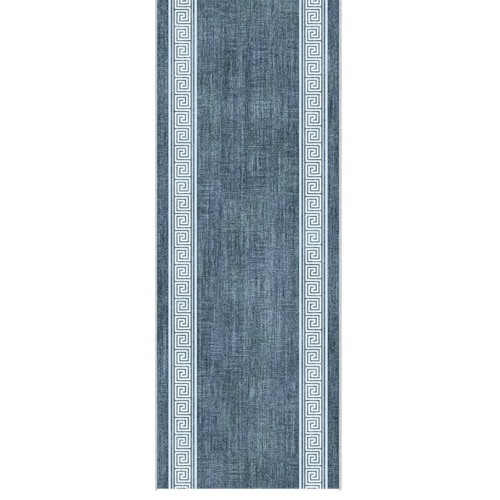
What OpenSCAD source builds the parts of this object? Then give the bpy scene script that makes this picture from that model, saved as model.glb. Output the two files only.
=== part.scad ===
// Runner rug with a meander border along each side.
// Cut pile, grouped by the colour of its yarn, stands on a backing cloth that is locked with
// latex, lined with an anti-slip backing and overlocked all round.
// X runs across the rug, Y along it and +Z up. The origin is the middle of the underside.

/* [Rug] */
// Width of the rug over the side overlocking
rug_w = 800; // [640:10:1200]
// Length of the rug over the end overlocking
rug_l = 2500; // [1200:50:5000]
// Radius of the rug's corners, seen from above
corner_r = 5; // [3:0.5:9]

/* [Layers] */
// Thickness of the anti-slip backing
grip_t = 2.5; // [1.8:0.1:5]
// Thickness of the latex coat that locks the tufts in
latex_t = 0.6; // [0.3:0.1:1.5]
// Thickness of the woven backing cloth
cloth_t = 0.5; // [0.3:0.1:1.2]
// Height of the open pile above the backing cloth
pile_h = 4.2; // [3.4:0.1:9]
// Height that the overlocking squeezes the pile down to
nip_h = 1.6; // [0.8:0.1:2.4]

/* [Overlocking] */
// Width of the overlocking along each side
side_lock_w = 10; // [7:0.5:16]
// Width of the overlocking across each end
end_lock_w = 10; // [7:0.5:16]
// Thickness of the cover yarn where it wraps the edge
yarn_t = 0.9; // [0.5:0.1:1.6]
// Radius of the wrap's outer edges, above and below
wrap_r = 1.5; // [0.8:0.1:2]
// Width of the needle thread that holds the wrap down
thread_w = 0.9; // [0.4:0.1:1.4]
// Distance from the wrap's inner edge to the middle of the needle thread
thread_in = 2; // [1:0.1:3]

/* [Border] */
// Distance from the rug's edge to the middle of the border band
band_inset = 120; // [96:1:160]
// Width of the meander line, and of the gaps between its turns
key_unit = 6.07; // [4:0.01:7.3]
// Distance from the front overlocking to the start of the first whole turn of the meander
key_start = 26; // [0:1:60]
// Width of the thin stripe beside the meander
pinstripe_w = 4.7; // [2:0.1:7]
// Blue gap between the thin stripe and the broad one
stripe_gap = 7; // [3:0.1:9]
// Width of the broad stripe
stripe_w = 9.4; // [4:0.1:12]

/* [Hidden] */

left = -1;
right = 1;
front = -1;
back = 1;

// The layers lie inside the wrap; the open face is what the overlocking leaves uncovered.
core_w = rug_w - 2 * yarn_t;
core_l = rug_l - 2 * yarn_t;
core_r = corner_r - yarn_t;
open_w = rug_w - 2 * side_lock_w;
open_l = rug_l - 2 * end_lock_w;

// Heights of the layers' top faces
grip_top = grip_t;
latex_top = grip_top + latex_t;
cloth_top = latex_top + cloth_t;
nip_top = cloth_top + nip_h;
wrap_top = nip_top + yarn_t;

// The meander repeats every 12 units and is 11 units wide, with one unit of ground each side.
// A turn is given as [column, row] in units: columns from left to right, rows from back to front.
key_rows = 12;
key_mid = 6;
key_turn = [
    [1, 1], [11, 1], [11, 11], [3, 11], [3, 5], [7, 5],
    [7, 7], [5, 7], [5, 9], [9, 9], [9, 3], [1, 3]
];
key_repeat = key_rows * key_unit;
key_front_y = key_start - open_l / 2;
key_count = ceil((core_l / 2 - key_front_y + 2 * key_unit) / key_repeat) + 1;
key_back_y = key_front_y + (key_count - 1) * key_repeat;

// Edges of the stripes, as distances from the middle of the band
band_mid = rug_w / 2 - band_inset;
pinstripe_0 = (key_mid + 0.5) * key_unit;
pinstripe_1 = pinstripe_0 + pinstripe_w;
stripe_0 = pinstripe_1 + stripe_gap;
stripe_1 = stripe_0 + stripe_w;

blue_yarn = "#5c7180";
white_yarn = "#e4eef8";
cloth_colour = "#b9b4a6";
latex_colour = "#e9e6dc";
grip_colour = "#dcdcd8";
side_yarn = "#cdd0d0";
end_yarn = "#f4f5f5";
needle_colour = "#e8e8e6";

round_fn = 48;

// A rectangle with rounded corners, centred on the origin
module rounded_rectangle(w, l, r) {
    square([w - 2 * r, l], center = true);
    square([w, l - 2 * r], center = true);
    for (x = [-1, 1], y = [-1, 1])
        translate([x * (w / 2 - r), y * (l / 2 - r)]) circle(r = r, $fn = round_fn);
}

// A layer of the core, between two heights
module core_layer(z0, z1) {
    translate([0, 0, z0]) linear_extrude(z1 - z0) rounded_rectangle(core_w, core_l, core_r);
}

// The rectangle that the overlocking leaves open, between two heights
module open_block(z0, z1) {
    translate([-open_w / 2, -open_l / 2, z0]) cube([open_w, open_l, z1 - z0]);
}

// All the space that pile fills: squeezed down at the edges, full height on the open face
module pile_space() {
    core_layer(cloth_top, nip_top);
    open_block(cloth_top, cloth_top + pile_h);
}

// Pile over the 2D zone given as children
module pile(colour) {
    color(colour) intersection() {
        translate([0, 0, cloth_top]) linear_extrude(pile_h) children();
        pile_space();
    }
}

// A strip that runs the whole length of the pile, from x0 to x1
module strip(x0, x1) {
    translate([x0, -core_l / 2]) square([x1 - x0, core_l]);
}

// Heading from a to b, and the normal on its left
function heading(a, b) = (b - a) / norm(b - a);
function left_of(d) = [-d[1], d[0]];

// Middle line of the meander, from beyond the back end to beyond the front end
key_path = [
    for (turn = [0 : key_count - 1], p = key_turn)
        [(p[0] - key_mid) * key_unit, key_back_y - (p[1] + key_rows * turn) * key_unit],
    [(key_turn[0][0] - key_mid) * key_unit, key_back_y - (key_turn[0][1] + key_rows * key_count) * key_unit]
];

// Point i of the middle line, moved half the line's width to the left (side 1) or the right (side -1)
function key_edge(i, side) =
    let (
        last = len(key_path) - 1,
        before = i > 0 ? left_of(heading(key_path[i - 1], key_path[i])) : [0, 0],
        after = i < last ? left_of(heading(key_path[i], key_path[i + 1])) : [0, 0]
    )
    key_path[i] + side * (before + after) * key_unit / 2;

// Outline of the meander line about the middle of its band
module meander_outline() {
    last = len(key_path) - 1;
    polygon(concat(
        [for (i = [0 : last]) key_edge(i, 1)],
        [for (i = [last : -1 : 0]) key_edge(i, -1)]
    ));
}

module field_pile() {
    inner_edge = band_mid - stripe_1;
    pile(blue_yarn) strip(-inner_edge, inner_edge);
}

module margin_pile(side) {
    pile(blue_yarn) translate([side > 0 ? band_mid + stripe_1 : -core_w / 2, -core_l / 2])
        square([core_w / 2 - band_mid - stripe_1, core_l]);
}

// A white stripe whose edges are d0 and d1 from the middle of the band, towards the rug's
// edge (outward 1) or towards the field (outward -1)
module stripe(side, outward, d0, d1) {
    pile(white_yarn) translate([side * (band_mid + outward * (d0 + d1) / 2), 0])
        strip(-(d1 - d0) / 2, (d1 - d0) / 2);
}

module meander(side) {
    pile(white_yarn) translate([side * band_mid, 0]) meander_outline();
}

// The blue pile between the white lines of one band
module border_ground(side) {
    pile(blue_yarn) translate([side * band_mid, 0]) {
        difference() {
            strip(-pinstripe_0, pinstripe_0);
            meander_outline();
        }
        strip(-stripe_0, -pinstripe_1);
        strip(pinstripe_1, stripe_0);
    }
}

module backing_cloth() {
    color(cloth_colour) core_layer(latex_top, cloth_top);
}

module latex_coat() {
    color(latex_colour) core_layer(grip_top, latex_top);
}

// The backing's edge is thinned where the wrap passes under it
module grip_backing() {
    color(grip_colour) {
        core_layer(yarn_t, grip_top);
        open_block(0, yarn_t);
    }
}

// Section of the wrap: w wide, its outer edges rounded, its inner edge on the Y axis
module wrap_section(w) {
    square([w - wrap_r, wrap_top]);
    translate([0, wrap_r]) square([w, wrap_top - 2 * wrap_r]);
    for (y = [wrap_r, wrap_top - wrap_r])
        translate([w - wrap_r, y]) circle(r = wrap_r, $fn = round_fn);
}

// Cover yarn along one side, closed round the rug's corners
module side_overlock(side) {
    color(side_yarn) difference() {
        intersection() {
            mirror([side > 0 ? 0 : 1, 0, 0])
                translate([open_w / 2, rug_l / 2, 0])
                rotate([90, 0, 0])
                linear_extrude(rug_l) wrap_section(side_lock_w);
            linear_extrude(wrap_top) rounded_rectangle(rug_w, rug_l, corner_r);
        }
        core_layer(yarn_t, nip_top);
    }
}

// Cover yarn across one end, between the side overlocking
module end_overlock(end) {
    color(end_yarn) difference() {
        mirror([0, end > 0 ? 0 : 1, 0])
            translate([-open_w / 2, open_l / 2, 0])
            rotate([90, 0, 90])
            linear_extrude(open_w) wrap_section(end_lock_w);
        core_layer(yarn_t, nip_top);
    }
}

// Upper half of the needle thread, lying along +Y from the origin
module thread_line(l) {
    rotate([-90, 0, 0]) linear_extrude(l) intersection() {
        circle(d = thread_w, $fn = round_fn);
        translate([-thread_w / 2, -thread_w]) square([thread_w, thread_w]);
    }
}

module side_needle_thread(side) {
    thread_l = rug_l - 2 * corner_r;
    color(needle_colour)
        translate([side * (open_w / 2 + thread_in), -thread_l / 2, wrap_top]) thread_line(thread_l);
}

module end_needle_thread(end) {
    color(needle_colour)
        translate([open_w / 2, end * (open_l / 2 + thread_in), wrap_top])
        rotate([0, 0, 90]) thread_line(open_w);
}

field_pile();
margin_pile(left);  // margin_pile_left
margin_pile(right);  // margin_pile_right
stripe(left, 1, stripe_0, stripe_1);  // outer_stripe_left
stripe(right, 1, stripe_0, stripe_1);  // outer_stripe_right
stripe(left, 1, pinstripe_0, pinstripe_1);  // outer_pinstripe_left
stripe(right, 1, pinstripe_0, pinstripe_1);  // outer_pinstripe_right
meander(left);  // meander_left
meander(right);  // meander_right
border_ground(left);  // border_ground_left
border_ground(right);  // border_ground_right
stripe(left, -1, pinstripe_0, pinstripe_1);  // inner_pinstripe_left
stripe(right, -1, pinstripe_0, pinstripe_1);  // inner_pinstripe_right
stripe(left, -1, stripe_0, stripe_1);  // inner_stripe_left
stripe(right, -1, stripe_0, stripe_1);  // inner_stripe_right
backing_cloth();
latex_coat();
grip_backing();
side_overlock(left);  // side_overlock_left
side_overlock(right);  // side_overlock_right
end_overlock(front);  // end_overlock_front
end_overlock(back);  // end_overlock_back
side_needle_thread(left);  // side_needle_thread_left
side_needle_thread(right);  // side_needle_thread_right
end_needle_thread(front);  // end_needle_thread_front
end_needle_thread(back);  // end_needle_thread_back
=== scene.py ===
"""The looks of a runner rug with a meander border along each side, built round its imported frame.

Every length is in metres. X runs across the rug, Y along it and Z up out of the pile.
"""

import functools
import math

import bpy
import numpy as np
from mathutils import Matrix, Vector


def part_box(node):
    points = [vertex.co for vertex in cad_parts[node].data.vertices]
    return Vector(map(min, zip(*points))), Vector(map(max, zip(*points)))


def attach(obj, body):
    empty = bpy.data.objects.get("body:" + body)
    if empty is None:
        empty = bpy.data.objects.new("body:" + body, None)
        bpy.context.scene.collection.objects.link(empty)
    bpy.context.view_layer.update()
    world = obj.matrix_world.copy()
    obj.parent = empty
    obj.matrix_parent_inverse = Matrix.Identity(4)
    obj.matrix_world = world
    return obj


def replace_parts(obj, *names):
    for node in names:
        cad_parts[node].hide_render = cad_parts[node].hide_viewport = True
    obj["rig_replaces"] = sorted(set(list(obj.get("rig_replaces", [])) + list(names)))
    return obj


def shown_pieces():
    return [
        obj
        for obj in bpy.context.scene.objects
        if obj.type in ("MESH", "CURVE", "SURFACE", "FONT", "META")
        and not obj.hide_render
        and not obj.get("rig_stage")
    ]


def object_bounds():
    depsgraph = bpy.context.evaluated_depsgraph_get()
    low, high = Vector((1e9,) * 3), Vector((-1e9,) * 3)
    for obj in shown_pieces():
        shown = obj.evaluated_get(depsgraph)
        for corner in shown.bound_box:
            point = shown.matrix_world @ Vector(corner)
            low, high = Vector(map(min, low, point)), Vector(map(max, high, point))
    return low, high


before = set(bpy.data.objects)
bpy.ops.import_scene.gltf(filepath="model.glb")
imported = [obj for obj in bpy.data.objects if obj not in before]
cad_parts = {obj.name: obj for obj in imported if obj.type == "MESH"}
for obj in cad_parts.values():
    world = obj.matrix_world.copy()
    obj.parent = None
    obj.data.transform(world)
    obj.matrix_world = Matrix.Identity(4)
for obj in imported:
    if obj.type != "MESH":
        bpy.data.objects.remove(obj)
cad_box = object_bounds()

bl_info = {
    "name": "Runner Rug",
    "version": (1, 0, 0),
    "blender": (4, 5, 0),
    "location": "3D View > Sidebar > Rug",
    "description": "Builds a meander-bordered runner rug piece by piece, and a plain studio for it",
    "category": "Add Mesh",
}

MM = 0.001
SIDES = ("left", "right")
ENDS = ("front", "back")


def srgb(red, green, blue):
    """A display colour, given in 255ths, as the linear colour that Blender works in."""
    return tuple(((c / 255 + 0.055) / 1.055) ** 2.4 for c in (red, green, blue))


# ----- What the frame says -----

RUG_LO, RUG_HI = (np.array(corner) for corner in cad_box)
CLOTH_LO, CLOTH_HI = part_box("backing_cloth")
LATEX_LO, LATEX_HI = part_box("latex_coat")
GRIP_LO, GRIP_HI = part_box("grip_backing")
FIELD_LO, FIELD_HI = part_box("field_pile")
FRONT_LO, FRONT_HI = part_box("end_overlock_front")
BACK_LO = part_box("end_overlock_back")[0]
KEY_LO, KEY_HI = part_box("meander_right")
MARGIN_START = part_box("margin_pile_right")[0].x

RUG_W, RUG_L = RUG_HI[0] - RUG_LO[0], RUG_HI[1] - RUG_LO[1]
CORE_W, CORE_L = CLOTH_HI.x - CLOTH_LO.x, CLOTH_HI.y - CLOTH_LO.y
OPEN_W, OPEN_L = FRONT_HI.x - FRONT_LO.x, BACK_LO.y - FRONT_HI.y
LOCK_REACH = (RUG_W - OPEN_W) / 2
END_REACH = (RUG_L - OPEN_L) / 2
YARN_T = (RUG_W - CORE_W) / 2
WRAP_TOP = FRONT_HI.z
NIP_TOP = WRAP_TOP - YARN_T

# The meander is 11 units wide and repeats every 12. One turn of it is given as (column, row),
# columns from left to right and rows from back to front.
KEY_COLUMNS = 11
KEY_ROWS = 12
KEY_MIDDLE = 6
KEY_UNIT = (KEY_HI.x - KEY_LO.x) / KEY_COLUMNS
KEY_TURN = [
    (1, 1), (11, 1), (11, 11), (3, 11), (3, 5), (7, 5),
    (7, 7), (5, 7), (5, 9), (9, 9), (9, 3), (1, 3), (1, 13),
]


# ----- What stays as it is -----

LINES_PER_UNIT = 2  # grid lines of the pile in one unit of the meander
STRIPE_CELL = 0.7  # a stripe's mesh cells, as a share of the tuft pitch
EDGE_RISE = 0.25  # the share of the edge lean that lies past the open face
SLUB_WIDTH = 11 * MM  # thick places in the pile yarn: width, and length of their wander
SLUB_WANDER = 83 * MM
SLUB_SWAY = 2.0
SLUB_SHARE = 0.3  # slubs in the unevenness of the pile
STILL_LEANS = 1.5  # tufts this many edge leans from the edge keep to their rows
LATEX_WAVE = 0.1 * MM
CLOTH_WAVE = 0.05 * MM
TAPE_PITCH = 2.4 * MM
YARN_SIDES = 8
THREAD_SIDES = 6
CORNER_STEPS = 8
BEND_STEPS = 3
DOT_SIDES = 6
DOT_TAPER = 0.6
ROWS_BELOW = 1000.25  # keeps the number of a row of dots positive
CORNER_LAP = 1 * MM  # how far past each corner of the open face the side yarn goes on
SEED = 1
FLOOR_HALF = 60.0
FLOOR_DROP = 0.1 * MM  # keeps the floor just under the rug
LAMP_ANGLE = math.radians(35)
SENSOR_WIDTH = 36.0
VIEW_END = 200.0
HORIZON = 1.02  # strength of the sky where it meets the floor
HORIZON_FADE = 4.0


# ----- Sizes and colours that a user would change -----


def length(label, description, default, low=0.0):
    return bpy.props.FloatProperty(
        name=label, description=description, default=default, min=low, unit="LENGTH", precision=5
    )


def angle(label, description, degrees):
    return bpy.props.FloatProperty(
        name=label, description=description, default=math.radians(degrees), subtype="ANGLE"
    )


def strength(label, description, default):
    return bpy.props.FloatProperty(name=label, description=description, default=default, min=0.0)


def colour(label, description, default):
    return bpy.props.FloatVectorProperty(
        name=label, description=description, default=default, size=3, min=0.0, max=1.0,
        subtype="COLOR",
    )


class RugPileSizes(bpy.types.PropertyGroup):
    key_start: length("Meander start", "From the front yarn to the first whole turn", 26 * MM)
    tuft_pitch: length("Tuft pitch", "Width of one modelled clump of tufts", 3.83 * MM)
    tuft_width: length("Tuft width", "Width of one tuft of pile yarn", 2.3 * MM)
    tuft_relief: length("Tuft relief", "How much lower a short tuft stands", 0.55 * MM)
    tuft_wander: length("Tuft wander", "How far a tuft may stand off its row", 0.5 * MM)
    edge_lean: length("Edge lean", "Width over which the pile rises at the edge", 0.9 * MM)


class RugEdgeSizes(bpy.types.PropertyGroup):
    wrap_pitch: length("Wrap pitch", "Distance between turns of the cover yarn", 2.5 * MM)
    wrap_width: length("Wrap width", "Width of one turn of the cover yarn", 2.8 * MM)
    wrap_radius: length("Wrap radius", "Radius of the overlocking's outer edges", 1.5 * MM)
    corner_radius: length("Corner radius", "Radius of the rug's corners, from above", 5 * MM)
    wrap_slant: angle("Wrap slant", "Slant of the wraps to the edge", 5)
    wrap_sway: angle("Wrap sway", "Largest random turn of a wrap", 2.5)
    stitch_pitch: length("Stitch pitch", "Distance between stitches", 5 * MM)
    stitch_length: length("Stitch length", "Length of thread that shows in a stitch", 4.5 * MM)


class RugBackSizes(bpy.types.PropertyGroup):
    dot_pitch: length("Dot pitch", "Distance between anti-slip dots", 16 * MM)
    dot_radius: length("Dot radius", "Radius of a dot where it meets the backing", 3.6 * MM)
    dot_height: length("Dot height", "How far the dots stand out of the backing", 0.9 * MM)
    layer_cell: length("Layer cell", "Mesh size of the flat layers", 25 * MM)


class RugColours(bpy.types.PropertyGroup):
    shade: colour("Shade", "Darkest blue of the heathered pile", srgb(16, 38, 52))
    deep: colour("Deep", "Dark blue of the heathered pile", srgb(45, 67, 82))
    blue: colour("Blue", "Middle blue of the heathered pile", srgb(78.3, 101.2, 117))
    pale: colour("Pale", "Light blue of the heathered pile", srgb(112, 135, 151))
    fleck: colour("Fleck", "Palest blue of the heathered pile", srgb(149, 171, 188))
    teal: colour("Teal cast", "Tint of the greener patches", srgb(78, 102, 114.2))
    violet: colour("Violet cast", "Tint of the bluer patches", srgb(78.6, 100.7, 120))
    stripe_white: colour("Stripe white", "White yarn of the stripes", srgb(213, 230, 244))
    key_white: colour("Meander white", "White yarn of the meander", srgb(245, 254, 255))
    # The sides' light grey is painted shade on the same white yarn as at the ends.
    side_yarn: colour("Side yarn", "Cover yarn along the sides", srgb(198, 202, 204))
    end_yarn: colour("End yarn", "Cover yarn across the ends", srgb(252, 253, 253))
    needle: colour("Needle thread", "Thread that holds the overlocking", srgb(238, 241, 242))
    cloth: colour("Backing cloth", "Cloth that the pile is held in", srgb(186, 181, 168))
    latex: colour("Latex", "Coat that locks the tufts", srgb(232, 228, 216))
    grip: colour("Backing", "Anti-slip backing", srgb(206, 206, 200))
    floor: colour("Floor", "Studio floor", (0.95, 0.95, 0.95))


class RugStudio(bpy.types.PropertyGroup):
    camera_height: length("Camera height", "Height of the camera above the floor", 12.0)
    view_width: length("View width", "Width of floor that the picture takes in", 2.1437)
    view_x: length("View X", "Middle of the view across the rug", 8.4 * MM, low=-RUG_W)
    view_y: length("View Y", "Middle of the view along the rug", -217.2 * MM, low=-RUG_L)
    sky: strength("Sky", "Strength of the even light", 0.73)
    lamp: strength("Lamp", "Strength of the soft lamp", 1.83)
    lamp_tilt: angle("Lamp tilt", "Tilt of the lamp from straight above", 38)
    lamp_turn: angle("Lamp turn", "Turn of the lamp round the rug", -35)


# ----- Node graphs written as Python -----


def adds(operation):
    """A Python operator that adds a Math node, and its reflected form."""
    return (
        lambda value, other: value.graph.maths(operation, value, other),
        lambda value, other: value.graph.maths(operation, other, value),
    )


class Value:
    """A node's output, on which Python's operators add Math nodes."""

    def __init__(self, graph, socket):
        self.graph = graph
        self.socket = socket

    def __abs__(self):
        return self.graph.maths("ABSOLUTE", self)

    __add__, __radd__ = adds("ADD")
    __sub__, __rsub__ = adds("SUBTRACT")
    __mul__, __rmul__ = adds("MULTIPLY")
    __truediv__, __rtruediv__ = adds("DIVIDE")
    __gt__ = adds("GREATER_THAN")[0]
    __lt__ = adds("LESS_THAN")[0]


class Graph:
    """A node tree that is filled through one method."""

    def __init__(self, tree):
        self.tree = tree

    def node(self, kind, settings=None, inputs=None, out=0):
        """Adds a node: its settings, then its inputs by place, identifier or name.

        Gives the output that out names.
        """
        made = self.tree.nodes.new(kind)
        for name, value in (settings or {}).items():
            if name == "stops":
                self.fill_ramp(made.color_ramp, value)
            else:
                setattr(made, name, value)
        for key, value in (inputs or {}).items():
            socket = self.find(made.inputs, key)
            if isinstance(value, Value):
                self.tree.links.new(value.socket, socket)
            else:
                socket.default_value = value
        return Value(self, self.find(made.outputs, out)) if made.outputs else made

    @staticmethod
    def find(sockets, key):
        if isinstance(key, int):
            return sockets[key]
        for socket in sockets:
            if socket.identifier == key or (socket.name == key and socket.enabled):
                return socket
        raise KeyError(f"no socket {key!r}")

    @staticmethod
    def fill_ramp(ramp, stops):
        while len(ramp.elements) < len(stops):
            ramp.elements.new(1.0)
        for element, (place, stop_colour) in zip(ramp.elements, stops):
            element.position = place
            element.color = (*stop_colour, 1.0)

    def also(self, value, out):
        """Another output of the node that a value comes from."""
        return Value(self, self.find(value.socket.node.outputs, out))

    def maths(self, operation, *values, clamp=False):
        settings = {"operation": operation, "use_clamp": clamp}
        return self.node("ShaderNodeMath", settings, dict(enumerate(values)))

    def vector(self, operation, *values):
        return self.node("ShaderNodeVectorMath", {"operation": operation}, dict(enumerate(values)))

    def part(self, vector, axis):
        """The X, Y or Z part of a vector."""
        return self.node("ShaderNodeSeparateXYZ", None, {0: vector}, axis)

    def clamp(self, value):
        return self.maths("ADD", value, 0.0, clamp=True)

    def mix(self, share, first, second, blend="MIX"):
        """Colour between first and second."""
        plain = [c if isinstance(c, Value) else (*c, 1.0) for c in (first, second)]
        values = {"Factor_Float": share, "A_Color": plain[0], "B_Color": plain[1]}
        return self.node("ShaderNodeMix", {"data_type": "RGBA", "blend_type": blend}, values, 2)


class Finish(Graph):
    """A material with one Principled shader."""

    def __init__(self, name):
        self.material = bpy.data.materials.new(name)
        self.material.use_nodes = True
        super().__init__(self.material.node_tree)
        self.tree.nodes.clear()
        self.place = self.node("ShaderNodeTexCoord", out="Object")

    def noise(self, across, along, shift=0.0, detail=0.0):
        """Noise from about -0.3 to 0.3, whose cells are across wide and along long.

        The shift moves it by that many cells, so that no two noises are alike.
        """
        scale = (1 / across, 1 / along, 1 / across)
        placed = {"Vector": self.place, "Scale": scale, "Location": (shift, shift, 0)}
        stretched = self.node("ShaderNodeMapping", None, placed)
        values = {"Vector": stretched, "Scale": 1.0, "Detail": detail}
        return self.node("ShaderNodeTexNoise", {"noise_dimensions": "2D"}, values) - 0.5

    def bumped(self, height, power, distance):
        values = {"Strength": power, "Distance": distance, "Height": height}
        return self.node("ShaderNodeBump", None, values)

    def toned(self, share, light, factors):
        """From a light colour to a darker one, which is its channels times factors."""
        dark = tuple(channel * factor for channel, factor in zip(light, factors))
        return self.mix(self.clamp(share), light, dark)

    def shade(self, base, roughness, normal=None, **constants):
        """Ends the graph. The constants are set on the shader's own sockets."""
        values = {"Base Color": base, "Roughness": roughness}
        if normal is not None:
            values["Normal"] = normal
        for name, value in constants.items():
            values[name.replace("_", " ").title().replace("Ior", "IOR")] = value
        shader = self.node("ShaderNodeBsdfPrincipled", None, values)
        self.node("ShaderNodeOutputMaterial", None, {"Surface": shader})
        return self.material


# ----- Finishes -----


def tufted(finish, power):
    """Gives each tuft one tone, by moving the finish's later patterns to the tufts' middles.

    Returns how far a point is from its tuft's middle, the fuzz of its fibres and the bump of both.
    """
    pitch = bpy.context.scene.rug_pile.tuft_width
    fuzz = finish.noise(0.55 * MM, 0.55 * MM, 31.0, 1.0)
    shrunk = {"Vector": finish.place, "Scale": (1 / pitch,) * 3}
    cells = finish.node("ShaderNodeMapping", None, shrunk)
    off_middle = finish.node(
        "ShaderNodeTexVoronoi",
        {"voronoi_dimensions": "2D", "feature": "F1"},
        {"Vector": cells, "Scale": 1.0, "Randomness": 0.8},
        "Distance",
    )
    bump = finish.bumped(fuzz * 0.5 - off_middle, power, 1.1 * MM)
    grown = {"Vector": finish.also(off_middle, "Position"), "Scale": (pitch,) * 3}
    finish.place = finish.node("ShaderNodeMapping", None, grown)
    return off_middle, fuzz, bump


@functools.cache
def blue_pile():
    """Heathered pile: streaks along the rug, shorter ones across it, tufts and slow patches.
    Painted shade darkens it between the tufts, and beside and between the stripes.
    """
    colours = bpy.context.scene.rug_colours
    finish = Finish("heathered_pile")
    stripe_shade_and_side_darkening = painted_stripe_shade_and_side_darkening(finish)
    off_middle, fuzz, bump = tufted(finish, 0.75)
    tufts = finish.noise(5.2 * MM, 5.2 * MM, 5.0)
    slubs = finish.noise(7 * MM, 30 * MM, 13.0)
    fine_threads = finish.noise(2.6 * MM, 110 * MM, 3.0)
    threads = finish.noise(4.2 * MM, 400 * MM, 11.0)
    bands = finish.noise(10 * MM, 800 * MM, 17.0)
    picks = finish.noise(40 * MM, 3.4 * MM, 29.0)
    wide_picks = finish.noise(120 * MM, 4.4 * MM, 19.0)
    patches = finish.noise(160 * MM, 160 * MM, 7.0)
    long_patches = finish.noise(160 * MM, 900 * MM, 37.0)
    # Where the cloth looks crossed, the picks across it show more and the threads along it less.
    crossed = finish.clamp(finish.noise(85 * MM, 85 * MM, 41.0) * 3.0 + 0.5)
    along = (fine_threads * 0.75 + threads * 0.48 + slubs * 0.4) * (1.35 - crossed * 0.7)
    across = (picks * 0.39 + wide_picks * 0.43) * (0.4 + crossed * 1.2)
    slow = bands * 0.4 + patches * 0.3 + long_patches * 0.19
    # Each tuft has its own tone, and painted shade darkens it away from the tuft's middle.
    tuft_tone_and_shade = tufts * 1.35 + (0.4 - off_middle) * 0.45 + fuzz * 0.3
    contrast = 1.04
    ramp_span = 1.5
    # The painted shade beside and between the stripes, and the darker margins, are taken off the
    # tone.
    tone = 0.5 + ((tuft_tone_and_shade + along + across + slow) * contrast - stripe_shade_and_side_darkening) / ramp_span
    named = (colours.shade, colours.deep, colours.blue, colours.pale, colours.fleck)
    stops = [(place / (len(named) - 1), stop) for place, stop in enumerate(named)]
    ramp = {"Fac": finish.clamp(tone)}
    heather = finish.node("ShaderNodeValToRGB", {"stops": stops}, ramp)
    cast = finish.clamp(finish.noise(95 * MM, 180 * MM, 23.0, 1.0) * 2.0 + 0.5)
    tint = finish.mix(cast, colours.teal, colours.violet)
    even = finish.mix(1.0, tint, colours.blue, "DIVIDE")
    return finish.shade(
        finish.mix(1.0, heather, even, "MULTIPLY"),
        0.84 + tufts * 0.2 + off_middle * 0.1,
        bump,
        specular_IOR_level=0.25,
        sheen_weight=0.12,
        sheen_roughness=0.45,
    )


def painted_stripe_shade_and_side_darkening(finish):
    """How much darker the blue is in its places across the rug: painted shade beside and between
    the stripes, and plain darkening in the margins and towards the sides. In the meander it is
    lighter.
    """
    # Strengths: painted shade beside the stripes and in the gaps between them, lighter in the
    # meander, darker in the margins and towards the sides.
    stripe_edge_shade, gap_shade, in_meander, in_margin, at_side = 0.2, 0.2, -0.12, 0.05, 0.09
    reach = 6.5 * MM
    off_centre = abs(finish.part(finish.place, "X"))
    band_middle = (KEY_LO.x + KEY_HI.x) / 2
    off_band = abs(off_centre - band_middle)
    key_half = KEY_HI.x - band_middle
    gap = (off_band > key_half) * (off_band < MARGIN_START - band_middle)
    field_line, margin_line = (
        finish.clamp(1.0 - abs(off_centre - edge) * (1 / reach))
        for edge in (FIELD_HI.x - reach / 2, MARGIN_START + reach / 2)
    )
    to_side = finish.clamp((off_centre - MARGIN_START) * (1 / (CORE_W / 2 - MARGIN_START)))
    return (
        (field_line + margin_line) * stripe_edge_shade
        + gap * gap_shade
        + (off_band < key_half) * in_meander
        + (off_centre > MARGIN_START) * in_margin
        + to_side * at_side
    )


@functools.cache
def white_pile(name, yarn):
    """White cut pile with a grain of tone, and painted shade that makes it a touch greyer between
    its tufts.
    """
    finish = Finish(name)
    off_middle, fuzz, bump = tufted(finish, 0.6)
    grain = finish.noise(3.2 * MM, 5.5 * MM, 13.0, 1.0)
    slow = finish.noise(60 * MM, 120 * MM, 17.0)
    # Grain and slow patches of tone, and painted shade between the tufts, which goes to a bluish
    # grey.
    grain_and_tuft_shade = 0.16 + grain * 1.1 + slow * 0.6 + (off_middle - 0.4) * 0.8 + fuzz * 0.6
    white = getattr(bpy.context.scene.rug_colours, yarn)
    return finish.shade(
        finish.toned(grain_and_tuft_shade, white, (0.7, 0.78, 0.86)),
        0.84 + grain * 0.2 + off_middle * 0.1,
        bump,
        specular_IOR_level=0.25,
        sheen_weight=0.1,
        sheen_roughness=0.4,
    )


@functools.cache
def cover_yarn(name, yarn):
    """Twisted yarn. Its UV map runs along it and round it, and each wrap has its own tone. Painted
    shade darkens the grooves between its plies.
    """
    finish = Finish(name)
    strand_map = finish.node("ShaderNodeUVMap", {"uv_map": "yarn"})
    turns = finish.part(strand_map, "X") * 22.0 + finish.part(strand_map, "Y") * 2.0
    plies = finish.maths("SINE", turns * math.tau)
    fuzz = finish.noise(0.5 * MM, 0.5 * MM, 2.0, 2.0)
    tone = finish.node("ShaderNodeAttribute", {"attribute_name": "tone"}, out="Fac")
    # Each wrap's own tone and fuzz, and painted shade in the grooves of the twist.
    tone_and_ply_shade = 0.3 + (tone - 0.5) * 0.5 + fuzz * 0.5 - plies * 0.12
    return finish.shade(
        finish.toned(tone_and_ply_shade, getattr(bpy.context.scene.rug_colours, yarn), (0.84, 0.85, 0.86)),
        0.62 + fuzz * 0.25,
        finish.bumped(plies * 0.6 + fuzz, 0.45, 0.25 * MM),
        specular_IOR_level=0.4,
        sheen_weight=0.15,
        sheen_roughness=0.35,
    )


def woven_cloth():
    """Plain weave of flat tapes, one over and one under."""
    finish = Finish("woven_tape_cloth")
    warp, weft = (
        finish.maths("SINE", finish.part(finish.place, axis) * (math.tau / TAPE_PITCH))
        for axis in ("X", "Y")
    )
    weave = warp * weft
    fuzz = finish.noise(6 * MM, 6 * MM, 1.0, 2.0)
    share = 0.35 + weave * 0.25 + fuzz * 0.6
    return finish.shade(
        finish.toned(share, bpy.context.scene.rug_colours.cloth, (0.7, 0.69, 0.66)),
        0.8 + fuzz * 0.2,
        finish.bumped(weave + fuzz * 0.4, 0.5, 0.3 * MM),
        specular_IOR_level=0.3,
    )


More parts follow.
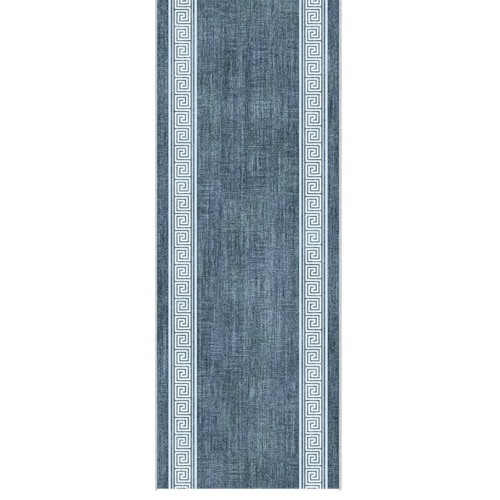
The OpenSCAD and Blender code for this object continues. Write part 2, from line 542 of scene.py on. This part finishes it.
def dried_latex():
    """Dried latex: matt, with faint pools and pinholes."""
    finish = Finish("dried_latex")
    pools = finish.noise(25 * MM, 25 * MM, 9.0, 2.0)
    pinholes = finish.noise(2 * MM, 2 * MM, 4.0, 1.0)
    return finish.shade(
        finish.toned(0.4 + pools * 1.5, bpy.context.scene.rug_colours.latex, (0.82, 0.8, 0.74)),
        0.6 + pools * 0.3,
        finish.bumped(pinholes + pools * 0.5, 0.3, 0.3 * MM),
        specular_IOR_level=0.4,
    )


def foamed_backing():
    """Soft foamed backing with a fine skin."""
    finish = Finish("foamed_backing")
    foam = finish.noise(1.6 * MM, 1.6 * MM, 6.0, 2.0)
    streaks = finish.noise(30 * MM, 220 * MM, 8.0, 2.0)
    share = 0.3 + foam * 0.8 + streaks * 0.9
    return finish.shade(
        finish.toned(share, bpy.context.scene.rug_colours.grip, (0.8, 0.8, 0.78)),
        0.72 + foam * 0.3,
        finish.bumped(foam, 0.35, 0.3 * MM),
        specular_IOR_level=0.35,
    )


def studio_floor():
    """Plain pale floor, very slightly clouded."""
    finish = Finish("pale_floor")
    clouds = 0.5 + finish.noise(0.9, 0.9, 0.0, 1.0)
    floor = finish.toned(clouds, bpy.context.scene.rug_colours.floor, (0.99, 0.99, 0.99))
    return finish.shade(floor, 0.9, specular_IOR_level=0.1)


# ----- Shared mesh work -----


def scatter(x, y, seed):
    """A number from 0 to 1 that belongs to a place, the same for every piece with a point there."""
    microns = 1e6
    per_x, per_y, per_seed, gain = 0.129898, 0.078233, 3.7719, 43758.5453
    phase = np.round(x * microns) * per_x + np.round(y * microns) * per_y + seed * per_seed
    n = np.sin(phase) * gain
    return n - np.floor(n)


def core_corner(x, y):
    """Pulls points back inside the rounded corners of the rug's core."""
    radius = bpy.context.scene.rug_edges.corner_radius - YARN_T
    straight_w, straight_l = CORE_W / 2 - radius, CORE_L / 2 - radius
    dx, dy = np.abs(x) - straight_w, np.abs(y) - straight_l
    far = np.hypot(dx, dy)
    cut = (dx > 0) & (dy > 0) & (far > radius)
    scale = np.where(cut, radius / np.where(cut, far, 1.0), 1.0)
    return (
        np.where(cut, np.sign(x) * (straight_w + dx * scale), x),
        np.where(cut, np.sign(y) * (straight_l + dy * scale), y),
    )


def add_piece(node, stuff, mesh, material):
    """Puts a finished mesh in the scene as the piece that stands for a CAD node."""
    mesh.materials.clear()
    mesh.materials.append(material)
    mesh.polygons.foreach_set("material_index", np.zeros(len(mesh.polygons), int))
    piece = bpy.data.objects.new(f"{node}_{stuff}", mesh)
    bpy.context.scene.collection.objects.link(piece)
    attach(piece, "root")
    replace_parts(piece, node)
    return piece


def grid_solid(name, xs, ys, inside, floor_z, shape, light_base=False):
    """A closed solid over the grid cells where inside is true.

    shape takes arrays of x and y and gives the x, y and height of the top's points. A light base
    has one face for each row, and suits a solid that fills the grid and has straight sides.
    """
    columns, rows = len(xs), len(ys)
    top_x, top_y, top_z = shape(*np.meshgrid(xs, ys, indexing="ij"))
    heights = (top_z, np.full_like(top_z, floor_z))
    points = np.concatenate(
        [np.stack([top_x, top_y, z], axis=-1).reshape(-1, 3) for z in heights]
    )
    index = np.arange(columns * rows).reshape(columns, rows)
    below = columns * rows

    def quads(i, j):
        return index[i, j], index[i + 1, j], index[i + 1, j + 1], index[i, j + 1]

    top = np.stack(quads(*np.nonzero(inside)), axis=-1)
    # For each side of a cell: the step to its neighbour, and the corners of the wall between them.
    sides = [(-1, 0, 3, 0), (1, 0, 1, 2), (0, -1, 0, 1), (0, 1, 2, 3)]
    padded = np.pad(inside, 1)
    walls = []
    for step_i, step_j, first, second in sides[:2] if light_base else sides:
        open_side = inside & ~padded[1 + step_i : columns + step_i, 1 + step_j : rows + step_j]
        corners = quads(*np.nonzero(open_side))
        p, q = corners[first], corners[second]
        walls.append(np.stack([p, p + below, q + below, q], axis=-1))
    if light_base:
        left, right = index[0] + below, index[-1] + below
        bottom = np.stack([left[1:], right[1:], right[:-1], left[:-1]], axis=-1)
        ends = [[left[0], right[0], *index[::-1, 0]], [right[-1], left[-1], *index[:, -1]]]
    else:
        bottom, ends = top[:, ::-1] + below, []
    faces = np.concatenate([top, bottom, *walls])
    used = np.unique(faces)
    renumber = np.zeros(len(points), int)
    renumber[used] = np.arange(len(used))
    all_faces = renumber[faces].tolist() + [renumber[end].tolist() for end in ends]
    mesh = bpy.data.meshes.new(name)
    mesh.from_pydata(points[used].tolist(), [], all_faces)
    mesh.polygons.foreach_set("use_smooth", np.arange(len(all_faces)) < len(top))
    mesh.update()
    return mesh


def evenly(start, end, cell):
    """Grid lines from start to end, about one cell apart."""
    return np.linspace(start, end, max(2, round((end - start) / cell) + 1))


def middles(lines):
    return (lines[1:] + lines[:-1]) / 2


# ----- Pile -----


def edge_lines(half_open, half_core):
    """Grid lines where the pile comes out from under the overlocking, from the inside out."""
    lean = bpy.context.scene.rug_pile.edge_lean
    return [half_open - lean, half_open + lean * EDGE_RISE, half_core]


def lines_along():
    """Grid lines along the rug, on the meander's grid, so that pile pieces meet point to point."""
    cell = KEY_UNIT / LINES_PER_UNIT
    start = FRONT_HI.y + bpy.context.scene.rug_pile.key_start + cell
    ends = edge_lines(OPEN_L / 2, CORE_L / 2)
    reach = math.ceil(RUG_L / cell)
    lines = start + cell * np.arange(-reach, reach)
    free = lines[np.abs(lines) < ends[0] - cell / 2]
    return np.concatenate([-np.array(ends[::-1]), free, ends])


def pile_shape(x, y):
    """Where the tips of the pile stand: uneven on the open face, squeezed down at the edges."""
    sizes = bpy.context.scene.rug_pile
    inset = np.minimum(OPEN_W / 2 - np.abs(x), OPEN_L / 2 - np.abs(y))
    rise = np.clip((inset / sizes.edge_lean + EDGE_RISE) / (1 + EDGE_RISE), 0, 1)
    rise = rise * rise * (3 - 2 * rise)
    free = np.clip(inset / sizes.edge_lean - STILL_LEANS, 0, 1)
    slubs = 0.5 + 0.5 * np.sin(x / SLUB_WIDTH + SLUB_SWAY * np.sin(y / SLUB_WANDER))
    short = (1 - SLUB_SHARE) * scatter(x, y, 1) + SLUB_SHARE * slubs
    tips = FIELD_HI.z - sizes.tuft_relief * short * rise
    wander = sizes.tuft_wander * free
    moved_x, moved_y = core_corner(
        x + (scatter(x, y, 2) - 0.5) * wander,
        y + (scatter(x, y, 3) - 0.5) * wander,
    )
    return moved_x, moved_y, NIP_TOP + (tips - NIP_TOP) * rise


def pile_piece(name, xs, material, inside=None, light_base=False):
    ys = lines_along()
    if inside is None:
        inside = np.ones((len(xs) - 1, len(ys) - 1), bool)
    mesh = grid_solid(name, xs, ys, inside, FIELD_LO.z, pile_shape, light_base)
    return add_piece(name, "tufts", mesh, material)


def key_cells():
    """The (column, row) cells that the white line covers in one repeat of the meander."""
    return {
        (column, row % KEY_ROWS)
        for (c0, r0), (c1, r1) in zip(KEY_TURN, KEY_TURN[1:])
        for column in range(min(c0, c1), max(c0, c1) + 1)
        for row in range(min(r0, r1), max(r0, r1) + 1)
    }


def key_lines(side):
    """The grid lines across a meander, and its middle."""
    lo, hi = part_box(f"meander_{side}")
    return np.linspace(lo.x, hi.x, KEY_COLUMNS * LINES_PER_UNIT + 1), (lo.x + hi.x) / 2


def on_key_line(x, y, band_middle):
    """True for the grid cells, given by their middles, that the white line of a band covers."""
    front = FRONT_HI.y + bpy.context.scene.rug_pile.key_start
    last = 2 * KEY_MIDDLE
    column = np.floor((x - band_middle) / KEY_UNIT + KEY_MIDDLE + 0.5).astype(int)
    row = np.floor((front - y) / KEY_UNIT + 0.5).astype(int) % KEY_ROWS
    covered = np.zeros((last + 1, KEY_ROWS), bool)
    for cell in key_cells():
        covered[cell] = True
    in_band = (column >= 0) & (column <= last)
    return covered[np.clip(column, 0, last)[:, None], row[None, :]] & in_band[:, None]


class RUG_OT_field(bpy.types.Operator):
    """Build the heathered blue field"""

    bl_idname = "rug.field"
    bl_label = "Field pile"

    def execute(self, context):
        xs = evenly(FIELD_LO.x, FIELD_HI.x, context.scene.rug_pile.tuft_pitch)
        pile_piece("field_pile", xs, blue_pile(), light_base=True)
        return {"FINISHED"}


class RUG_OT_margins(bpy.types.Operator):
    """Build the blue margins between the borders and the sides"""

    bl_idname = "rug.margins"
    bl_label = "Margin pile"

    def execute(self, context):
        edge = edge_lines(OPEN_W / 2, CORE_W / 2)
        xs = evenly(MARGIN_START, edge[0], context.scene.rug_pile.tuft_pitch)
        xs = np.append(xs, edge[1:])
        for side, lines in zip(SIDES, (-xs[::-1], xs)):
            pile_piece(f"margin_pile_{side}", lines, blue_pile())
        return {"FINISHED"}


class RUG_OT_stripes(bpy.types.Operator):
    """Build the broad and thin white stripes"""

    bl_idname = "rug.stripes"
    bl_label = "White stripes"

    def execute(self, context):
        white = white_pile("stripe_white_pile", "stripe_white")
        cell = context.scene.rug_pile.tuft_pitch * STRIPE_CELL
        for place in ("outer_stripe", "outer_pinstripe", "inner_pinstripe", "inner_stripe"):
            for side in SIDES:
                name = f"{place}_{side}"
                lo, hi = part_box(name)
                pile_piece(name, evenly(lo.x, hi.x, cell), white, light_base=True)
        return {"FINISHED"}


class RUG_OT_meanders(bpy.types.Operator):
    """Build the white meander lines"""

    bl_idname = "rug.meanders"
    bl_label = "Meander lines"

    def execute(self, context):
        white = white_pile("meander_white_pile", "key_white")
        for side in SIDES:
            xs, band_middle = key_lines(side)
            inside = on_key_line(middles(xs), middles(lines_along()), band_middle)
            pile_piece(f"meander_{side}", xs, white, inside)
        return {"FINISHED"}


class RUG_OT_grounds(bpy.types.Operator):
    """Build the blue ground between the white lines of each border"""

    bl_idname = "rug.grounds"
    bl_label = "Border ground"

    def execute(self, context):
        cell = KEY_UNIT / LINES_PER_UNIT
        for side in SIDES:
            name = f"border_ground_{side}"
            lo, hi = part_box(name)
            key, band_middle = key_lines(side)
            a, b, c, d = sorted(
                corner.x
                for place in ("outer_pinstripe", "inner_pinstripe")
                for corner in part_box(f"{place}_{side}")
            )
            between = [b, b + cell, *key, c - cell, c]
            xs = np.concatenate([evenly(lo.x, a, cell), between, evenly(d, hi.x, cell)])
            across = middles(xs)
            thin = ((across > a) & (across < b)) | ((across > c) & (across < d))
            white = on_key_line(across, middles(lines_along()), band_middle)
            pile_piece(name, xs, blue_pile(), ~white & ~thin[:, None])
        return {"FINISHED"}


# ----- What repeats -----


class Pattern(Graph):
    """A Geometry Nodes tree with named inputs, which gives one mesh of one material."""

    def __init__(self, name, **inputs):
        super().__init__(bpy.data.node_groups.new(name, "GeometryNodeTree"))
        sockets = self.tree.interface
        kinds = {"Geometry": "Geometry", **inputs, "Material": "Material", "Seed": "Int"}
        for label, kind in kinds.items():
            sockets.new_socket(label, in_out="INPUT", socket_type=f"NodeSocket{kind}")
        sockets.new_socket("Geometry", in_out="OUTPUT", socket_type="NodeSocketGeometry")
        self.entry = self.node("NodeGroupInput")

    def __getitem__(self, label):
        return self.also(self.entry, label)

    def random(self, low, high, salt):
        """A random number for each copy."""
        values = {"Min_001": low, "Max_001": high, "Seed": self["Seed"] + salt}
        return self.node("FunctionNodeRandomValue", {"data_type": "FLOAT"}, values, 1)

    def along(self, axis, size):
        """A vector along one axis."""
        return self.node("ShaderNodeCombineXYZ", None, {axis: size})

    def turned(self, angles):
        """The rotation by Euler angles."""
        return self.node("FunctionNodeEulerToRotation", None, {0: angles})

    def copies(self, points, instance, rotation):
        values = {"Points": points, "Instance": instance, "Rotation": rotation}
        return self.node("GeometryNodeInstanceOnPoints", None, values)

    def toned(self, copies):
        """Gives each copy a tone of its own, which the yarn's finish reads."""
        values = {"Geometry": copies, "Name": "tone", "Value": self.random(0.0, 1.0, 5)}
        settings = {"data_type": "FLOAT", "domain": "INSTANCE"}
        return self.node("GeometryNodeStoreNamedAttribute", settings, values)

    def end(self, copies, *rest):
        """Realises the copies, joins the rest to them, sets the material and closes the tree."""
        mesh = self.node("GeometryNodeRealizeInstances", None, {"Geometry": copies})
        if rest:
            mesh = self.node("GeometryNodeJoinGeometry", None, {"Geometry": mesh})
            for part in rest:
                self.tree.links.new(part.socket, mesh.socket.node.inputs["Geometry"])
        values = {"Geometry": mesh, "Material": self["Material"]}
        painted = self.node("GeometryNodeSetMaterial", None, values)
        self.node("NodeGroupOutput", None, {"Geometry": painted})
        return self.tree


@functools.cache
def edge_wraps():
    """Copies a wrap of yarn at each step of the rug's outline, inside one box."""
    pattern = Pattern(
        "edge_wraps", Width="Float", Length="Float", Radius="Float", Pitch="Float",
        Middle="Vector", Half="Vector", Slant="Float", Sway="Float",
    )
    outline = pattern.node(
        "GeometryNodeCurvePrimitiveQuadrilateral",
        {"mode": "RECTANGLE"},
        {"Width": pattern["Width"], "Height": pattern["Length"]},
    )
    rounded = pattern.node(
        "GeometryNodeFilletCurve",
        {"mode": "POLY"},
        {"Curve": outline, "Count": CORNER_STEPS, "Radius": pattern["Radius"]},
    )
    stations = pattern.node(
        "GeometryNodeCurveToPoints",
        {"mode": "LENGTH"},
        {"Curve": rounded, "Length": pattern["Pitch"]},
    )
    place = pattern.node("GeometryNodeInputPosition")
    off = pattern.vector("ABSOLUTE", pattern.vector("SUBTRACT", place, pattern["Middle"]))
    beyond = pattern.vector("SUBTRACT", off, pattern["Half"])
    farthest = pattern.maths("MAXIMUM", pattern.part(beyond, "X"), pattern.part(beyond, "Y"))
    kept = pattern.node(
        "GeometryNodeDeleteGeometry",
        {"domain": "POINT"},
        {"Geometry": stations, "Selection": farthest > 0.0},
    )
    facing = pattern.node(
        "FunctionNodeAxesToRotation",
        {"primary_axis": "Z", "secondary_axis": "Y"},
        {"Primary Axis": (0.0, 0.0, 1.0), "Secondary Axis": pattern.also(stations, "Tangent")},
    )
    turn = pattern["Slant"] + pattern.random(-1.0, 1.0, 1) * pattern["Sway"]
    swayed = pattern.node(
        "FunctionNodeRotateRotation",
        {"rotation_space": "LOCAL"},
        {"Rotation": facing, "Rotate By": pattern.turned(pattern.along("Z", turn))},
    )
    return pattern.end(pattern.toned(pattern.copies(kept, pattern["Geometry"], swayed)))


@functools.cache
def stitch_row():
    """Copies a stitch along a straight line."""
    pattern = Pattern(
        "stitch_row", Count="Int", Start="Vector", Step="Vector", Heading="Vector", Sway="Float"
    )
    line = pattern.node(
        "GeometryNodeMeshLine",
        {"mode": "OFFSET", "count_mode": "TOTAL"},
        {"Count": pattern["Count"], "Start Location": pattern["Start"], "Offset": pattern["Step"]},
    )
    sway = pattern.along("Z", pattern.random(-1.0, 1.0, 2) * pattern["Sway"])
    rotation = pattern.turned(pattern.vector("ADD", pattern["Heading"], sway))
    return pattern.end(pattern.toned(pattern.copies(line, pattern["Geometry"], rotation)))


@functools.cache
def dotted_sheet():
    """Sets staggered dots under a sheet."""
    pattern = Pattern(
        "dotted_sheet", Width="Float", Length="Float", Pitch="Float", Radius="Float", Height="Float"
    )
    pitch = pattern["Pitch"]
    across = pattern.maths("FLOOR", pattern["Width"] / pitch)
    along = pattern.maths("FLOOR", pattern["Length"] / pitch)
    sizes = {"Size X": across * pitch, "Size Y": along * pitch}
    counts = {"Vertices X": across + 1.0, "Vertices Y": along + 1.0}
    grid = pattern.node("GeometryNodeMeshGrid", None, {**sizes, **counts})
    row = pattern.part(pattern.node("GeometryNodeInputPosition"), "Y") / pitch
    odd = pattern.maths("MODULO", pattern.maths("FLOOR", row + ROWS_BELOW), 2.0)
    shift = pattern.along("X", (odd - 0.5) * 0.5 * pitch)
    staggered = pattern.node("GeometryNodeSetPosition", None, {"Geometry": grid, "Offset": shift})
    dot = pattern.node(
        "GeometryNodeMeshCone",
        None,
        {"Vertices": DOT_SIDES, "Radius Top": pattern["Radius"],
         "Radius Bottom": pattern["Radius"] * DOT_TAPER, "Depth": pattern["Height"]},
    )
    turn = pattern.turned(pattern.along("Z", pattern.random(0.0, math.tau, 3)))
    return pattern.end(pattern.copies(staggered, dot, turn), pattern["Geometry"])


def grow(mesh, tree, material, **values):
    """Runs a tree on a mesh and gives the plain mesh that comes out."""
    host = bpy.data.objects.new("host", mesh)
    bpy.context.scene.collection.objects.link(host)
    modifier = host.modifiers.new("pattern", "NODES")
    modifier.node_group = tree
    values.update(Material=material, Seed=SEED)
    for item in tree.interface.items_tree:
        if item.in_out == "INPUT" and item.name in values:
            modifier[item.identifier] = values[item.name]
    depsgraph = bpy.context.evaluated_depsgraph_get()
    grown = bpy.data.meshes.new_from_object(host.evaluated_get(depsgraph), depsgraph=depsgraph)
    host.modifiers.remove(modifier)
    bpy.data.objects.remove(host)
    bpy.data.meshes.remove(mesh)
    return grown


def strand(name, route, half_w, half_t, sides):
    """A closed strand of oval section that follows route, a list of (x, z), at y = 0.

    Its UV map, yarn, runs from 0 to 1 along the strand and round it.
    """
    line = np.array(route)
    ahead = np.gradient(line, axis=0)
    ahead /= np.linalg.norm(ahead, axis=1)[:, None]
    normal = np.stack([-ahead[:, 1], ahead[:, 0]], axis=-1)
    angles = np.arange(sides) * math.tau / sides
    points = [
        (x + n_x * half_t * math.cos(a), half_w * math.sin(a), z + n_z * half_t * math.cos(a))
        for (x, z), (n_x, n_z) in zip(line, normal)
        for a in angles
    ]
    last = (len(line) - 1) * sides
    faces = [
        (ring + k, ring + sides + k, ring + sides + after, ring + after)
        for ring in range(0, last, sides)
        for k, after in enumerate([*range(1, sides), 0])
    ]
    faces += [range(sides), range(last + sides - 1, last - 1, -1)]
    mesh = bpy.data.meshes.new(name)
    mesh.from_pydata(points, [], faces)
    yarn_map = mesh.uv_layers.new(name="yarn")
    for face in mesh.polygons:
        seam = any(vertex % sides == sides - 1 for vertex in face.vertices)
        for loop, vertex in zip(face.loop_indices, face.vertices):
            ring, k = divmod(vertex, sides)
            around = 1.0 if seam and k == 0 else k / sides
            yarn_map.data[loop].uv = (ring * sides / last, around)
    mesh.polygons.foreach_set("use_smooth", [True] * len(faces))
    mesh.update()
    return mesh


def arc(middle_x, middle_z, radius, start, end):
    """Points of an arc, from angle start to angle end in degrees."""
    return [
        (middle_x + radius * math.cos(a), middle_z + radius * math.sin(a))
        for a in np.radians(np.linspace(start, end, BEND_STEPS))
    ]


def edge_wrap(reach):
    """One turn of cover yarn, open towards the rug: the edge is at x = 0, the rug at x below 0."""
    sizes = bpy.context.scene.rug_edges
    half_t = YARN_T / 2
    bend = sizes.wrap_radius - half_t
    high, low = WRAP_TOP - half_t, half_t
    outer = -half_t - bend
    # The yarn comes up out of the pile, goes round the edge and ends flat underneath.
    route = [
        (-reach + 0.1 * YARN_T, high - 0.7 * YARN_T),
        (-reach + 0.8 * YARN_T, high),
        (-reach / 2, high),
        *arc(outer, high - bend, bend, 90, 0),
        *arc(outer, low + bend, bend, 0, -90),
        (-reach / 2, low),
        (-reach + 0.4 * YARN_T, low),
    ]
    return strand("edge_wrap", route, sizes.wrap_width / 2, half_t, YARN_SIDES)


def overlock(name, reach, middle, half, material):
    """Wraps of cover yarn along the part of the rug's outline that lies in a box."""
    sizes = bpy.context.scene.rug_edges
    mesh = grow(
        edge_wrap(reach), edge_wraps(), material, Width=RUG_W, Length=RUG_L,
        Radius=sizes.corner_radius, Pitch=sizes.wrap_pitch, Middle=middle, Half=half,
        Slant=sizes.wrap_slant, Sway=sizes.wrap_sway,
    )
    add_piece(name, "wraps", mesh, material)


class RUG_OT_side_overlock(bpy.types.Operator):
    """Wrap the sides and corners in cover yarn, painted light grey as shade"""

    bl_idname = "rug.side_overlock"
    bl_label = "Side overlocking"

    def execute(self, context):
        # The grey of this yarn is painted shade on the white cover yarn.
        yarn = cover_yarn("grey_cover_yarn", "side_yarn")
        half = (LOCK_REACH / 2 + CORNER_LAP, RUG_L, 0.0)
        for side in SIDES:
            name = f"side_overlock_{side}"
            lo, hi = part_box(name)
            overlock(name, LOCK_REACH, ((lo.x + hi.x) / 2, 0.0, 0.0), half, yarn)
        return {"FINISHED"}


class RUG_OT_end_overlock(bpy.types.Operator):
    """Wrap the ends in white yarn"""

    bl_idname = "rug.end_overlock"
    bl_label = "End overlocking"

    def execute(self, context):
        yarn = cover_yarn("white_cover_yarn", "end_yarn")
        half = (OPEN_W / 2 - CORNER_LAP, END_REACH, 0.0)
        for end in ENDS:
            name = f"end_overlock_{end}"
            lo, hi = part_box(name)
            overlock(name, END_REACH, (0.0, (lo.y + hi.y) / 2, 0.0), half, yarn)
        return {"FINISHED"}


def stitch():
    """One stitch along x, which comes up out of the wraps and goes back down."""
    lo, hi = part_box("side_needle_thread_left")
    half_t = (hi.z - lo.z) / 2
    high = lo.z + half_t
    deep = high - 2.2 * half_t
    half = bpy.context.scene.rug_edges.stitch_length / 2
    flat = half * 0.8
    route = [(-half, deep), (-flat, high), (0.0, high), (flat, high), (half, deep)]
    return strand("stitch", route, (hi.x - lo.x) / 2, half_t, THREAD_SIDES)


class RUG_OT_needle_threads(bpy.types.Operator):
    """Sew the overlocking down with rows of stitches"""

    bl_idname = "rug.needle_threads"
    bl_label = "Needle threads"

    def execute(self, context):
        sizes = context.scene.rug_edges
        pitch = sizes.stitch_pitch
        thread = cover_yarn("sewing_thread", "needle")
        lengthwise = [(f"side_needle_thread_{side}", 1) for side in SIDES]
        crosswise = [(f"end_needle_thread_{end}", 0) for end in ENDS]
        for name, axis in lengthwise + crosswise:
            lo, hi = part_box(name)
            count = math.floor((hi[axis] - lo[axis]) / pitch)
            start, step = [(lo.x + hi.x) / 2, (lo.y + hi.y) / 2, 0.0], [0.0, 0.0, 0.0]
            start[axis], step[axis] = -pitch * (count - 1) / 2, pitch
            mesh = grow(
                stitch(), stitch_row(), thread, Count=count, Start=start, Step=step,
                Heading=(0.0, 0.0, axis * math.pi / 2), Sway=sizes.wrap_sway,
            )
            add_piece(name, "stitches", mesh, thread)
        return {"FINISHED"}


# ----- Flat layers -----


def layer_mesh(name, floor_z, top_z, waviness):
    """A flat layer with the rug's rounded corners, its top uneven by waviness."""
    cell = bpy.context.scene.rug_backs.layer_cell
    corner = bpy.context.scene.rug_edges.corner_radius
    xs, ys = (
        np.concatenate([[-half], evenly(corner - half, half - corner, cell), [half]])
        for half in (CORE_W / 2, CORE_L / 2)
    )

    def shape(x, y):
        return *core_corner(x, y), top_z - waviness * scatter(x, y, 4)

    inside = np.ones((len(xs) - 1, len(ys) - 1), bool)
    return grid_solid(name, xs, ys, inside, floor_z, shape)


class RUG_OT_latex_coat(bpy.types.Operator):
    """Spread the latex coat"""

    bl_idname = "rug.latex_coat"
    bl_label = "Latex coat"

    def execute(self, context):
        mesh = layer_mesh("latex_coat", LATEX_LO.z, LATEX_HI.z, LATEX_WAVE)
        add_piece("latex_coat", "film", mesh, dried_latex())
        return {"FINISHED"}


class RUG_OT_grip_backing(bpy.types.Operator):
    """Lay the anti-slip backing with its dots"""

    bl_idname = "rug.grip_backing"
    bl_label = "Anti-slip backing"

    def execute(self, context):
        sizes = context.scene.rug_backs
        foam = foamed_backing()
        plain_edge = 4 * sizes.dot_radius
        plate = layer_mesh("grip_backing", GRIP_LO.z + sizes.dot_height, GRIP_HI.z, 0.0)
        mesh = grow(
            plate, dotted_sheet(), foam, Width=OPEN_W - plain_edge, Length=OPEN_L - plain_edge,
            Pitch=sizes.dot_pitch, Radius=sizes.dot_radius, Height=sizes.dot_height,
        )
        piece = add_piece("grip_backing", "foam", mesh, foam)
        return {"FINISHED"}


class RUG_OT_backing_cloth(bpy.types.Operator):
    """Lay the backing cloth, which carries the pile and the overlocking"""

    bl_idname = "rug.backing_cloth"
    bl_label = "Backing cloth"

    def execute(self, context):
        mesh = layer_mesh("backing_cloth", CLOTH_LO.z, CLOTH_HI.z, CLOTH_WAVE)
        piece = add_piece("backing_cloth", "weave", mesh, woven_cloth())
        return {"FINISHED"}


# ----- Studio -----


def studio_sky(power):
    """An even white sky that is brighter at the horizon, where it meets the floor."""
    world = bpy.data.worlds.new("studio")
    world.use_nodes = True
    sky = Graph(world.node_tree)
    sky.tree.nodes.clear()
    up = sky.part(sky.node("ShaderNodeTexCoord", out="Generated"), "Z")
    low = sky.clamp(1.0 - up * HORIZON_FADE)
    glow = power + low * low * (HORIZON - power)
    values = {"Color": (1.0, 1.0, 1.0, 1.0), "Strength": glow}
    light = sky.node("ShaderNodeBackground", None, values)
    sky.node("ShaderNodeOutputWorld", None, {"Surface": light})
    return world


def add_object(name, data):
    made = bpy.data.objects.new(name, data)
    bpy.context.scene.collection.objects.link(made)
    return made


class RUG_OT_studio(bpy.types.Operator):
    """Set the pale floor, the soft light and the camera"""

    bl_idname = "rug.studio"
    bl_label = "Studio"

    def execute(self, context):
        scene = context.scene
        studio = scene.rug_studio
        mesh = bpy.data.meshes.new("floor")
        corners = [
            (x * FLOOR_HALF, y * FLOOR_HALF, -FLOOR_DROP)
            for x, y in ((-1, -1), (1, -1), (1, 1), (-1, 1))
        ]
        mesh.from_pydata(corners, [], [(0, 1, 2, 3)])
        mesh.materials.append(studio_floor())
        add_object("floor", mesh)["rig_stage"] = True

        scene.world = studio_sky(studio.sky)

        lamp = bpy.data.lights.new("soft_lamp", "SUN")
        lamp.energy = studio.lamp
        lamp.angle = LAMP_ANGLE
        add_object("soft_lamp", lamp).rotation_euler = (studio.lamp_tilt, 0.0, studio.lamp_turn)

        camera = bpy.data.cameras.new("camera")
        camera.sensor_width = SENSOR_WIDTH
        camera.lens = SENSOR_WIDTH * studio.camera_height / studio.view_width
        camera.clip_end = VIEW_END
        scene.camera = add_object("camera", camera)
        scene.camera.location = (studio.view_x, studio.view_y, studio.camera_height)

        scene.view_settings.view_transform = "Standard"
        scene.view_settings.look = "None"
        return {"FINISHED"}


# ----- The add-on -----

PIECES = (
    RUG_OT_field,
    RUG_OT_margins,
    RUG_OT_stripes,
    RUG_OT_meanders,
    RUG_OT_grounds,
    RUG_OT_side_overlock,
    RUG_OT_end_overlock,
    RUG_OT_needle_threads,
    RUG_OT_latex_coat,
    RUG_OT_grip_backing,
    RUG_OT_backing_cloth,
    RUG_OT_studio,
)
SETTINGS = {
    "rug_pile": RugPileSizes,
    "rug_edges": RugEdgeSizes,
    "rug_backs": RugBackSizes,
    "rug_colours": RugColours,
    "rug_studio": RugStudio,
}


class RUG_PT_panel(bpy.types.Panel):
    """Sizes, colours and pieces of the rug"""

    bl_idname = "RUG_PT_panel"
    bl_label = "Runner Rug"
    bl_space_type = "VIEW_3D"
    bl_region_type = "UI"
    bl_category = "Rug"

    def draw(self, context):
        for setting in SETTINGS:
            box = self.layout.box()
            group = getattr(context.scene, setting)
            for name in group.bl_rna.properties.keys():
                if name not in ("rna_type", "name"):
                    box.prop(group, name)
        for piece in PIECES:
            self.layout.operator(piece.bl_idname)


def register():
    for group in SETTINGS.values():
        bpy.utils.register_class(group)
    for piece in (*PIECES, RUG_PT_panel):
        bpy.utils.register_class(piece)
    for name, group in SETTINGS.items():
        setattr(bpy.types.Scene, name, bpy.props.PointerProperty(type=group))


def unregister():
    for name in SETTINGS:
        delattr(bpy.types.Scene, name)
    for piece in reversed((*PIECES, RUG_PT_panel)):
        bpy.utils.unregister_class(piece)
    for group in SETTINGS.values():
        bpy.utils.unregister_class(group)


def main():
    register()
    for piece in PIECES:
        family, name = piece.bl_idname.split(".")
        getattr(getattr(bpy.ops, family), name)()


if __name__ == "__main__":
    main()
